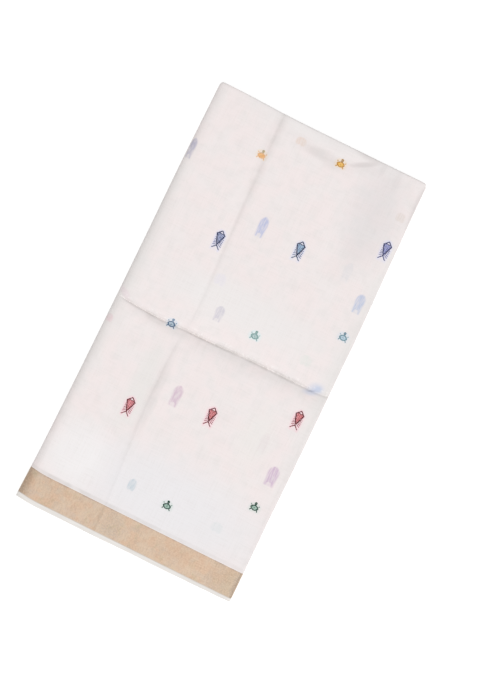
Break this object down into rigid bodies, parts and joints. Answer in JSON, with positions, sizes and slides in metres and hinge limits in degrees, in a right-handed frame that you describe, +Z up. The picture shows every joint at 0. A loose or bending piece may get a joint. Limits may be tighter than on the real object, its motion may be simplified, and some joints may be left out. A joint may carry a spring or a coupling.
{
  "type": "folded muslin saree",
  "caption": "Folded off-white muslin saree packet with woven fish and turtle sprigs, a tan-gold border band and pressed creases, lying flat.",
  "frame": {"origin": "centre of the packet's bounding box on its flat underside", "axes": "+X across the packet from the spine fold to the open edges, +Y along it from the selvedge end to the fold end, +Z up"},
  "size_m": [0.2997, 0.5841, 0.0158],
  "materials": {
    "muslin": "fine open plain-weave cotton muslin, matt, slightly sheer",
    "border": "cotton warp with dull tan-gold thread, soft sheen",
    "selvedge": "close-woven white cotton edge, matt",
    "sprig_thread": "soft dyed cotton threads laid in the weave"
  },
  "bodies": {
    "root": {"front_field": "muslin", "front_border": "border", "front_selvedge": "selvedge", "back_field": "muslin", "back_border": "border", "back_selvedge": "selvedge", "folded_layers": "muslin"}
  },
  "joints": []
}
